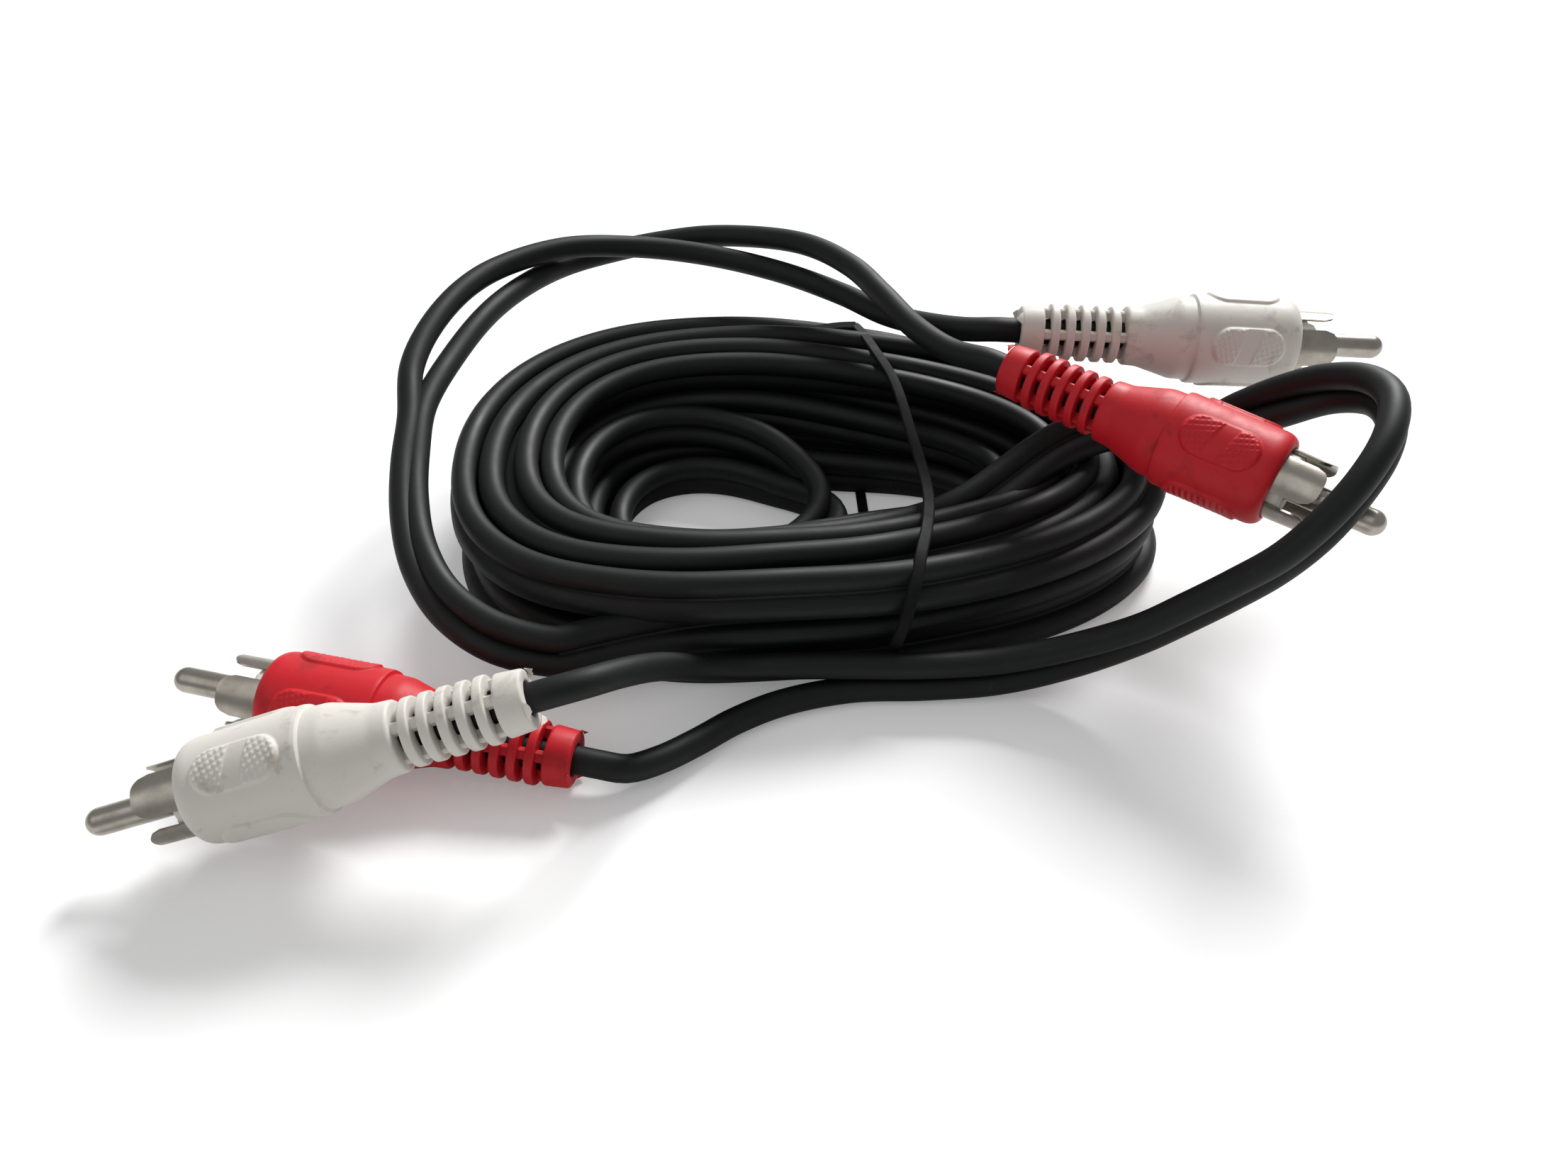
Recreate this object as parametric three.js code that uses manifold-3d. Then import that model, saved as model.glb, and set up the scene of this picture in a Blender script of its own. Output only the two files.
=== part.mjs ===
// Stereo audio lead: a twin cable wound in a hank, with a white and a red phono plug on each end.
// Millimetres, +Z up. The hank lies on the plane z = 0 and the origin is under its middle.
import * as THREE from 'three';
import { mergeVertices } from 'three/addons/utils/BufferGeometryUtils.js';
import Module from 'manifold-3d';

const wasm = await Module();
wasm.setup();

// Lead and clearances
const leadRadius = 1.75;
const seatGap = 0.3;
const fitGap = 0.15;
const leadBoreGap = 0.2;

// Plug, measured along its axis from the end of the strain relief to the tip of the pin
const collarLength = 3.2;
const collarRadius = 3.6;
const ringRadius = 3.95;
const ringWidth = 1.15;
const ringCount = 5;
const windowWidth = 0.95;
const ribWidth = 1.3;
const ribRadius = 3.3;
const coneLength = 9.05;
const coneRadius = 4.1;
const seamRadius = 5.75;
const bodyLength = 14.3;
const bodyRadius = 6.1;
const noseRadius = 1.1;
const padCount = 4;
const padLength = 10.1;
const padWidth = 5.3;
const padHeight = 0.3;
const lobeHeight = 0.55;
const padBandWidth = 1.9;
const padBandTilt = 74;
const padToFace = 7.4;

// Plug inside
const shellRadius = 4.5;
const shellWall = 0.35;
const shellDepth = 6;
const petalReach = 5.2;
const petalWidth = 5;
const petalCorner = 1.7;
const petalCount = 4;
const shellHoleRadius = 2;
const tailLength = 8.5;
const tailWidth = 2.4;
const tailOffset = 2.5;
const insulatorReach = 1.5;
const pinRadius = 1.6;
const pinReach = 13;
const pinNeckLength = 2.4;
const cupRadius = 1.15;
const cupWall = 0.35;
const cupLength = 5;
const cupDepth = 3.2;
const cavityRadius = 3.4;
const leadInPlug = 16;
const coreRadius = 0.6;
const shieldRadius = 0.45;
const roundSides = 20;
const reliefSides = 16;
const flatness = 0.01;

const windowPitch = windowWidth + ringWidth;
const coneStart = collarLength + ringCount * windowPitch + windowWidth;
const seamX = coneStart + coneLength;
const faceX = seamX + bodyLength;
const shellBackX = faceX - shellDepth;
const pinTipX = faceX + pinReach;

// Hank and its tie
const hankHeight = 21.4;
const hankBevel = 3;
const tieWidth = 1.6;
const tieThickness = 0.6;
const tieTurn = 12;
const tiePlace = [13.5, 8];
const tieGrooveDepth = tieThickness + 2 * seatGap;
const tieFar = 35.6;
const tieNear = 31.2;
const tieCorner = 6;

// The middle of the whole lead in the places below
const middle = [2.9, 0.9];

// Where each plug lies: the end of its strain relief, the way its pin points and the way its pad faces
const hankTopAxis = hankHeight + seatGap + bodyRadius;
const plugs = {
  left_white: {
    colour: 0xd9d6cd,
    end: [-28.2, -43.8, 17.9],
    points: [-0.961, -0.161, -0.225],
    padFaces: [0.03, -0.48, 0.875],
    route: [
      [-22.3, -42.1, 18.6], [-19, -38.5, 16.6], [-15.5, -33.3, 12.6], [-11.5, -28.8, 8.2],
      [-6.5, -26.4, 5.8], [-1, -25.9, 5.6], [8.1, -25.8, 5.6], [17.3, -25.8, 5.6],
      [26.5, -25.6, 6.2], [35.3, -26, 8.9], [43.3, -26.6, 13.2], [50.5, -27.3, 19.2],
      [56.8, -28.2, 25.7], [62.8, -26.7, 32.4], [67.4, -22.6, 36.9], [70.3, -16.9, 39],
      [70.8, -10.9, 38.8], [68.8, -5.3, 36.4], [65.2, -0.8, 32.5], [61.5, 2.4, 28.2],
      [56.3, 5.5, hankHeight + 1.1],
    ],
  },
  left_red: {
    colour: 0xc01f2c,
    end: [-25.2, -40.5, 4.2],
    points: [-0.9785, 0.188, 0.084],
    padFaces: [-0.14, -0.75, 0.643],
    route: [
      [-19.2, -41, 3.2], [-15.4, -38.9, 2.5], [-11.2, -35.6, 2], [-6.5, -31.8, 1.8],
      [-0.5, -28.6, 1.8], [8.2, -26.3, 1.8], [17.6, -25.9, 1.8], [27, -25.5, 2.4],
      [36, -25.3, 5.1], [44.4, -25.4, 9.2], [51.9, -25.8, 14.8], [57.6, -26.4, 20.4],
      [61.4, -26.2, 24.9], [64.4, -25, 29.2], [68, -21.8, 32.6], [71, -17.4, 34.6],
      [72.4, -12.2, 34.7], [71.6, -7.4, 33.6], [69.2, -4.4, 31.4], [65.2, -2.6, 28.4],
      [61, -0.6, 25], [57.2, 2.1, hankHeight - 0.2],
    ],
  },
  right_white: {
    colour: 0xd9d6cd,
    end: [33, 17.9, hankTopAxis + 2.1],
    points: [0.9978, -0.0636, -0.0186],
    padFaces: [-0.1, -0.94, 0.326],
    route: [
      [25.7, 20.2, 28.9], [20, 25.3, 27.2], [15.2, 30.9, 25.8], [8.5, 39, 25.3],
      [-1.2, 45.6, 25.9], [-12.9, 49.9, 26.8], [-24.7, 50.9, 27.8], [-35.8, 47.4, 29.2],
      [-45, 40.3, 29.3], [-49.6, 33.3, 28.8], [-53, 24.1, 27.1], [-54.2, 15.8, 24.9],
      [-54.1, 5.4, 21.9], [-53.2, -3.8, 18.4], [-51.2, -12.8, 14.6], [-47.2, -20.3, 11.4],
      [-41.4, -25.4, 9], [-34.7, -27.6, 7.4], [-28.6, -27.4, 6.4],
    ],
  },
  right_red: {
    colour: 0xc01f2c,
    end: [29.9, 6.9, hankTopAxis + 2.1],
    points: [0.787, -0.614, -0.066],
    padFaces: [-0.4, -0.52, 0.755],
    route: [
      [23.2, 13.4, 29], [18.5, 20.8, 28.9], [14.4, 29.4, 29.7], [9.9, 38.1, 30.4],
      [2.2, 46.8, 30.3], [-11.9, 54, 28.4], [-21.5, 55.2, 26.8], [-30, 53.4, 25.7],
      [-36.6, 49, 25.5], [-41.9, 41.3, 25.7], [-46.1, 32.9, 25.2], [-49.6, 22.4, 23.6],
      [-50.8, 13.1, 21.6], [-50.6, 2.4, 18.9], [-49, -7.1, 16.4], [-46, -15.2, 14.6],
      [-41.2, -21.2, 13.2], [-35.4, -24.8, 12.1], [-28.9, -25.8, 11.2],
    ],
  },
};

// Solids and geometry

function toSolid(geometry) {
  const bare = geometry.clone();
  bare.deleteAttribute('normal');
  bare.deleteAttribute('uv');
  const merged = mergeVertices(bare, 1e-4);
  return new wasm.Manifold(new wasm.Mesh({
    numProp: 3,
    vertProperties: new Float32Array(merged.attributes.position.array),
    triVerts: new Uint32Array(merged.index.array),
  }));
}

function toGeometry(solid) {
  const mesh = solid.simplify(flatness).getMesh();
  const geometry = new THREE.BufferGeometry();
  geometry.setAttribute('position', new THREE.Float32BufferAttribute(mesh.vertProperties, 3));
  geometry.setIndex(Array.from(mesh.triVerts));
  geometry.computeVertexNormals();
  return geometry;
}

// A turned solid on the X axis, from [x, radius] pairs that run along +X on the outside
function turned(profile, sides = roundSides) {
  const points = profile.map(([x, radius]) => new THREE.Vector2(radius, x));
  return toSolid(new THREE.LatheGeometry(points, sides).rotateZ(-Math.PI / 2));
}

function rod(startX, endX, radius, sides = roundSides) {
  return turned([[startX, 0], [startX, radius], [endX, radius], [endX, 0]], sides);
}

function ring(startX, endX, inner, outer, sides = roundSides) {
  const corners = [[startX, inner], [startX, outer], [endX, outer], [endX, inner], [startX, inner]];
  return turned(corners, sides);
}

function box(size, centre) {
  return toSolid(new THREE.BoxGeometry(...size).translate(...centre));
}

// A rectangle with round corners in the XY plane, about the origin
function roundedOutline(length, width, corner) {
  const shape = new THREE.Shape();
  const x = length / 2;
  const y = width / 2;
  shape.moveTo(-x + corner, -y);
  shape.lineTo(x - corner, -y);
  shape.absarc(x - corner, -y + corner, corner, -Math.PI / 2, 0);
  shape.absarc(x - corner, y - corner, corner, 0, Math.PI / 2);
  shape.absarc(-x + corner, y - corner, corner, Math.PI / 2, Math.PI);
  shape.absarc(-x + corner, -y + corner, corner, Math.PI, 1.5 * Math.PI);
  return shape;
}

function prism(shape, depth, curveSegments = 3) {
  return new THREE.ExtrudeGeometry(shape, { depth, bevelEnabled: false, curveSegments });
}

// Plug pieces, each on the X axis with the strain relief's end at 0

function strainRelief() {
  let relief = rod(0, collarLength, collarRadius, reliefSides);
  for (let index = 0; index < ringCount; index += 1) {
    const start = collarLength + windowWidth + index * windowPitch;
    relief = relief.add(rod(start, start + ringWidth, ringRadius, reliefSides));
  }
  const ribLength = coneStart;
  relief = relief.add(box([ribLength, 2 * ribRadius, ribWidth], [ribLength / 2, 0, 0]));
  return relief.add(box([ribLength, ribWidth, 2 * ribRadius], [ribLength / 2, 0, 0]));
}

// One of the oval finger pads, standing on the body at the given turn about the axis
function fingerPad(turn, hasLobes) {
  const padX = faceX - padToFace;
  const reach = bodyRadius + 2 * lobeHeight;
  const outline = roundedOutline(padLength, padWidth, padWidth / 2 - 0.01);
  const block = toSolid(prism(outline, reach).translate(padX, 0, 0));
  let pad = block.intersect(rod(seamX, faceX, bodyRadius + padHeight));
  if (hasLobes) {
    const band = box([padBandWidth, 2 * padWidth, 2 * reach], [0, 0, reach])
      .rotate([0, 0, padBandTilt - 90])
      .translate([padX, 0, 0]);
    pad = pad.add(block.subtract(band).intersect(rod(seamX, faceX, bodyRadius + lobeHeight)));
  }
  return pad.rotate([turn, 0, 0]);
}

function plugBody() {
  const nose = [];
  const noseSteps = 3;
  for (let step = 0; step <= noseSteps; step += 1) {
    const angle = (step / noseSteps) * Math.PI / 2;
    nose.push([
      faceX - noseRadius * (1 - Math.sin(angle)),
      bodyRadius - noseRadius * (1 - Math.cos(angle)),
    ]);
  }
  let body = turned([
    [coneStart, 0], [coneStart, coneRadius], [seamX, seamRadius], [seamX, bodyRadius],
    ...nose, [faceX, 0],
  ]);
  body = body.add(strainRelief());
  for (let index = 0; index < padCount; index += 1) {
    body = body.add(fingerPad(index * 360 / padCount, index % 2 === 0));
  }
  const leadBore = rod(-1, leadInPlug + seatGap, leadRadius + leadBoreGap, reliefSides);
  const cavity = rod(leadInPlug, shellBackX, cavityRadius, reliefSides);
  const shellSeat = rod(shellBackX - fitGap, faceX + 1, shellRadius + fitGap);
  return toGeometry(body.subtract(leadBore).subtract(cavity).subtract(shellSeat));
}

// Stamped cup with four sprung petals in front and a solder tail behind
function groundShell() {
  const petalEnd = faceX + petalReach;
  const petalStart = faceX - shellDepth / 2;
  const inner = shellRadius - shellWall;
  const wall = ring(shellBackX, petalEnd, inner, shellRadius);
  const petalLength = petalEnd - petalStart;
  const tongue = roundedOutline(2 * petalLength, petalWidth, petalCorner);
  const tongueBlock = toSolid(prism(tongue, 2 * shellRadius).translate(petalStart, 0, 0));
  const across = 4 * shellRadius;
  const frontBlock = box([petalLength, across, across], [petalStart + petalLength / 2, 0, 0]);
  let shell = ring(shellBackX, petalStart + 1, inner, shellRadius);
  for (let index = 0; index < petalCount; index += 1) {
    const petal = tongueBlock.rotate([index * 360 / petalCount, 0, 0]).intersect(wall);
    shell = shell.add(petal.intersect(frontBlock));
  }
  const backWall = ring(shellBackX, shellBackX + shellWall, shellHoleRadius, shellRadius);
  const tailPlace = [shellBackX - tailLength / 2 + shellWall / 2, 0, -tailOffset - shellWall / 2];
  const tail = box([tailLength + shellWall, tailWidth, shellWall], tailPlace);
  return toGeometry(shell.add(backWall).add(tail));
}

function insulator() {
  const start = shellBackX + shellWall + fitGap;
  const end = faceX + insulatorReach;
  const outer = shellRadius - shellWall - fitGap;
  const chamfer = 0.5;
  return toGeometry(turned([
    [start, pinRadius + fitGap], [start, outer], [end - chamfer, outer],
    [end, outer - chamfer], [end, pinRadius + fitGap], [start, pinRadius + fitGap],
  ]));
}

// Centre pin with a round tip, necked down to a hollow solder cup behind the shell
function centrePin() {
  const neckX = shellBackX + shellWall + fitGap;
  const cupX = neckX - pinNeckLength - cupLength;
  const tip = [];
  const tipSteps = 3;
  for (let step = 0; step <= tipSteps; step += 1) {
    const angle = (step / tipSteps) * Math.PI / 2;
    const along = pinTipX - pinRadius * (1 - Math.sin(angle));
    tip.push([along, pinRadius * Math.cos(angle)]);
  }
  tip[tipSteps][1] = 0;
  return toGeometry(turned([
    [cupX + cupDepth, 0], [cupX + cupDepth, cupRadius - cupWall], [cupX, cupRadius - cupWall],
    [cupX, cupRadius], [neckX, cupRadius], [neckX, pinRadius], ...tip,
  ], 16));
}

function signalCore() {
  const neckX = shellBackX + shellWall + fitGap;
  const cupX = neckX - pinNeckLength - cupLength;
  return toGeometry(rod(leadInPlug + seatGap, cupX + cupDepth - seatGap, cupRadius - cupWall - fitGap, 8));
}

function shieldWire() {
  const startX = leadInPlug + seatGap;
  const tailEndX = shellBackX - tailLength;
  const seatZ = -tailOffset + shieldRadius + fitGap;
  const path = new THREE.CatmullRomCurve3([
    new THREE.Vector3(startX, 0, -coreRadius - 2 * shieldRadius),
    new THREE.Vector3(startX + (tailEndX - startX) / 2, 0, -coreRadius - 2 * shieldRadius),
    new THREE.Vector3(tailEndX + 1, 0, seatZ),
    new THREE.Vector3(tailEndX + 4, 0, seatZ),
  ]);
  return cordAlong(path, shieldRadius, 8, 8);
}

// Cord pieces

function sectionCircle(radius, sides) {
  const corners = [];
  for (let index = 0; index < sides; index += 1) {
    const angle = (index / sides) * 2 * Math.PI;
    corners.push(new THREE.Vector2(radius * Math.cos(angle), radius * Math.sin(angle)));
  }
  return new THREE.Shape(corners);
}

function cordAlong(path, radius, sides, steps) {
  return new THREE.ExtrudeGeometry(sectionCircle(radius, sides), {
    steps,
    bevelEnabled: false,
    extrudePath: path,
  });
}

// A lead from inside its plug, out along the plug's axis and then along its route
function lead({ end, points, route }) {
  const exit = new THREE.Vector3(...end);
  const inward = new THREE.Vector3(...points).normalize();
  const inPlug = [leadInPlug, leadInPlug / 2, 0, -3]
    .map((distance) => exit.clone().addScaledVector(inward, distance));
  const free = route.map((place) => new THREE.Vector3(...place));
  const path = new THREE.CatmullRomCurve3([...inPlug, ...free]);
  const stepLength = 5 * leadRadius;
  return cordAlong(path, leadRadius, 8, Math.round(path.getLength() / stepLength));
}

// Hank: outer and inner outline, drawn through places on the floor

function outlineThrough(places, steps) {
  const points = places.map(([x, y]) => new THREE.Vector3(x, y, 0));
  const curve = new THREE.CatmullRomCurve3(points, true);
  return curve.getSpacedPoints(steps).slice(0, -1).map(({ x, y }) => new THREE.Vector2(x, y));
}

function hankSolid() {
  const outer = outlineThrough([
    [-48.4, 6], [-45.6, -9.5], [-37, -19.4], [-22, -23.2], [0, -23.2], [20, -20.6], [38, -14.4],
    [51, -6.4], [57.4, 5], [54, 20], [43, 31.5], [27, 39], [8, 42.8], [-13, 44],
    [-31, 40.2], [-43, 29.8], [-48.2, 18],
  ], 36);
  const inner = outlineThrough([
    [-25, 4], [-20, -6], [-6, -8.5], [12, -4], [24, 5], [14, 14], [-6, 19], [-20, 16],
  ], 20);
  const shape = new THREE.Shape(outer);
  shape.holes.push(new THREE.Path(inner));
  return toSolid(new THREE.ExtrudeGeometry(shape, {
    depth: hankHeight - 2 * hankBevel,
    bevelThickness: hankBevel,
    bevelSize: hankBevel,
    bevelOffset: -hankBevel,
    bevelSegments: 1,
  }).translate(0, 0, hankBevel));
}

// Closed band round the hank, in its own upright plane
function tieBand(grow) {
  const far = tieFar + tieThickness + grow;
  const near = tieNear + tieThickness + grow;
  const top = hankHeight + seatGap + tieThickness + grow;
  const bottom = -grow;
  const outline = roundedOutline(far + near, top - bottom, tieCorner);
  const wall = tieThickness + 2 * grow;
  const inside = roundedOutline(far + near - 2 * wall, top - bottom - 2 * wall, tieCorner - wall);
  outline.holes.push(new THREE.Path(inside.getPoints(3)));
  const width = tieWidth + 2 * grow;
  return prism(outline, width)
    .translate((far - near) / 2, (top + bottom) / 2, -width / 2)
    .rotateX(Math.PI / 2)
    .rotateZ(Math.PI / 2 + THREE.MathUtils.degToRad(tieTurn))
    .translate(tiePlace[0], tiePlace[1], 0);
}

// Scene graph

const group = new THREE.Group();
group.position.set(-middle[0], -middle[1], 0);
const materials = {
  nickel: { color: 0xb7b2a8, roughness: 0.28, metalness: 1 },
  insulation: { color: 0xd8d2bd, roughness: 0.5, metalness: 0 },
  copper: { color: 0xb87148, roughness: 0.35, metalness: 1 },
  jacket: { color: 0x17181a, roughness: 0.5, metalness: 0 },
  tie: { color: 0x101112, roughness: 0.42, metalness: 0 },
};

function addPiece(parent, name, geometry, finish) {
  const mesh = new THREE.Mesh(geometry, new THREE.MeshStandardMaterial(finish));
  mesh.name = name;
  parent.add(mesh);
}

function addPlug(name, plug) {
  const along = new THREE.Vector3(...plug.points).normalize();
  const side = new THREE.Vector3(...plug.padFaces).cross(along).normalize();
  const up = along.clone().cross(side);
  const frame = new THREE.Group();
  frame.quaternion.setFromRotationMatrix(new THREE.Matrix4().makeBasis(along, side, up));
  frame.position.set(...plug.end);
  addPiece(frame, `${name}_plug_body`, plugBody(), { color: plug.colour, roughness: 0.55, metalness: 0 });
  addPiece(frame, `${name}_ground_shell`, groundShell(), materials.nickel);
  addPiece(frame, `${name}_insulator`, insulator(), materials.insulation);
  addPiece(frame, `${name}_center_pin`, centrePin(), materials.nickel);
  addPiece(frame, `${name}_signal_core`, signalCore(), materials.copper);
  addPiece(frame, `${name}_shield_wire`, shieldWire(), materials.copper);
  group.add(frame);
  addPiece(group, `${name}_lead`, lead(plug), materials.jacket);
}

for (const [name, plug] of Object.entries(plugs)) {
  addPlug(name, plug);
}
const groove = toSolid(tieBand(seatGap));
addPiece(group, 'cable_hank', toGeometry(hankSolid().subtract(groove)), materials.jacket);
addPiece(group, 'hank_tie', tieBand(0), materials.tie);

export default group;
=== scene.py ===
import math
import random

import bpy
import numpy as np
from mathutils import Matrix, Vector


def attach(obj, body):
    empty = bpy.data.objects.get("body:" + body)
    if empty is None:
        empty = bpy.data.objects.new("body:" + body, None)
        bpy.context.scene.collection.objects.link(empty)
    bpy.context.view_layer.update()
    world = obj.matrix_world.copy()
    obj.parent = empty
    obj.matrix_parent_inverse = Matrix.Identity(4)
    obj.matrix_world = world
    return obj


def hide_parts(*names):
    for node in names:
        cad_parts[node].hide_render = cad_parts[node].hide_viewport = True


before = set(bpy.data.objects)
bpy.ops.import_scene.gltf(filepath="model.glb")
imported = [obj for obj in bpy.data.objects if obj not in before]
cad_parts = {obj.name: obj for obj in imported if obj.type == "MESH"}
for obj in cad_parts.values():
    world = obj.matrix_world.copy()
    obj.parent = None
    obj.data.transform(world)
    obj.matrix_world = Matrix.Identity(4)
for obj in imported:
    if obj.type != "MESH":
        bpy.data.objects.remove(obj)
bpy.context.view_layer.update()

MM = 0.001

# Places are measured from a point on the floor; the middle of the lead lies here from it
MIDDLE = np.array([2.9, 0.9, 0.0])

# Lead and twin cable
LEAD_RADIUS = 1.75
LEAD_IN_PLUG = 16.0
LEAD_STRAIGHT = 3.0
CORE_OFFSET = 1.7
LEAD_SIDES = 28
CORE_POINTS = 12

# Plug, along its axis from the end of the strain relief
COLLAR_LENGTH = 3.2
COLLAR_RADIUS = 3.6
COLLAR_TAPER = 0.25
FLASH_REACH = 0.9
FLASH_TURNS = [0.7, 2.6, 4.5]
RING_RADIUS = 3.95
RING_WIDTH = 1.15
RING_COUNT = 5
WINDOW_WIDTH = 0.95
RIB_COUNT = 4
RIB_WIDTH = 1.3
RIB_RADIUS = 3.3
LEAD_BORE = LEAD_RADIUS + 0.2
CONE_LENGTH = 9.05
CONE_RADIUS = 4.1
SEAM_RADIUS = 5.75
BODY_RADIUS = 6.1
BODY_LENGTH = 14.3
BODY_TAPER = 0.12
NOSE_RADIUS = 1.1
NOSE_LENGTH = 1.8
PAD_COUNT = 4
PAD_LENGTH = 10.1
PAD_WIDTH = 5.3
PAD_HEIGHT = 0.3
LOBE_HEIGHT = 0.25
PAD_BAND_WIDTH = 1.9
PAD_BAND_TILT = math.radians(74)
PAD_TO_FACE = 7.4
KNURL_PITCH = 0.66
KNURL_DEPTH = 0.16
KNURL_AXIS = (0.94, 0.34)
GRIP_PITCH = 0.8
GRIP_DEPTH = 0.14
BODY_SIDES = 288
PAD_STEP = 0.125

# Shell, insulator and pin
SHELL_RADIUS = 4.5
SHELL_WALL = 0.35
SHELL_DEPTH = 6.0
SEAT_CLEARANCE = 0.15
PETAL_REACH = 5.2
PETAL_WIDTH = 5.0
PETAL_CORNER = 1.7
PETAL_COUNT = 4
PETAL_OVERLAP = 0.6
PETAL_SPRING = 0.02
INSULATOR_REACH = 1.5
PIN_RADIUS = 1.6
PIN_REACH = 13.0

WINDOW_PITCH = WINDOW_WIDTH + RING_WIDTH
CONE_START = COLLAR_LENGTH + RING_COUNT * WINDOW_PITCH + WINDOW_WIDTH
SEAM_X = CONE_START + CONE_LENGTH
FACE_X = SEAM_X + BODY_LENGTH
PIN_TIP_X = FACE_X + PIN_REACH
PAD_X = FACE_X - PAD_TO_FACE
SHELL_BACK_X = FACE_X - SHELL_DEPTH
PETAL_START_X = FACE_X - SHELL_DEPTH / 2

# Hank: its outline about a centre, and how the turns of the twin cable are stacked round it
HANK_HEIGHT = 21.4
HANK_CENTRE = (0.0, 8.0)
HANK_OUTLINE = [
    (-48.4, 6.0), (-45.6, -9.5), (-37.0, -19.4), (-22.0, -23.2), (0.0, -23.2), (20.0, -20.6),
    (38.0, -14.4), (51.0, -6.4), (57.4, 5.0), (54.0, 20.0), (43.0, 31.5), (27.0, 39.0),
    (8.0, 42.8), (-13.0, 44.0), (-31.0, 40.2), (-43.0, 29.8), (-48.2, 18.0),
]
# Each turn's place in the stack, as a column in from the outline and a layer up from the floor
TURN_SLOTS = [
    (0.5, 1), (0, 0), (1, 0), (2, 0), (3, 0), (4, 0), (5, 0), (3.5, 1), (2.5, 1), (1.5, 1), (0, 2),
    (1, 2), (2, 2), (2.6, 1.9),
]
# Round the hank by degrees: column pitch, layer pitch, the twin's lean from lying flat in degrees,
# and how far the lowest and innermost turns spread into the middle
STACK = {
    10: (5.6, 5.2, 125, 11), 40: (5.2, 6.2, 112, 12), 70: (4.9, 7.2, 98, 12), 95: (4.8, 7.4, 92, 8),
    120: (4.4, 7.0, 95, 2), 150: (4.1, 6.4, 98, 0), 180: (4.0, 5.6, 102, 0), 225: (3.7, 4.9, 125, 0),
    270: (3.5, 4.3, 145, 0), 300: (3.8, 4.3, 145, 3), 330: (5.4, 4.4, 145, 10), 350: (6.0, 4.7, 138, 10),
}
# The stack's last column, where its first place lies from the outline and the floor, how the turns
# waver about their places, and how near the centre the innermost may come
LAST_COLUMN = 5
OUTER_INSET = 2.6
LOWEST_LEVEL = 3.4
WAVER = 0.5
SWAY = 14.0
INNER_REACH = 5.0
# Stations round the hank, and the way from one turn's place to the next
TURN_STATIONS = 24
FIRST_ANGLE = 247.5
LAST_STATIONS = 6
SHIFT_SPAN = 180.0
# How the cable settles, is smoothed, and is opened out where it bends too tightly
SETTLE_STEPS = 240
CORE_CLEARANCE = 0.05
OUTLINE_CLEARANCE = 0.3
TWIN_STEP = 1.5
TIGHTEST_BEND = 7.5
EASING_STEPS = 20
OPENING_STEPS = 2500
# The twin's two ends, and the leads' first points inside them
TWIN_START = (-28.75, -26.6, 8.8)
TWIN_START_ACROSS = (-0.06, 0.32, 0.95)
TWIN_END = (56.75, 3.8, 21.85)
TWIN_END_ACROSS = (-0.24, 0.907, 0.347)
TWIN_LEAD_OUT = [
    (26.0, -3.0, 13.8), (32.0, 1.5, 16.5), (38.0, 5.3, 19.0), (44.0, 7.3, 20.6), (50.5, 6.9, 21.2),
]
SPLIT_POINTS = 3
SPLIT_STEP = 2

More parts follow.
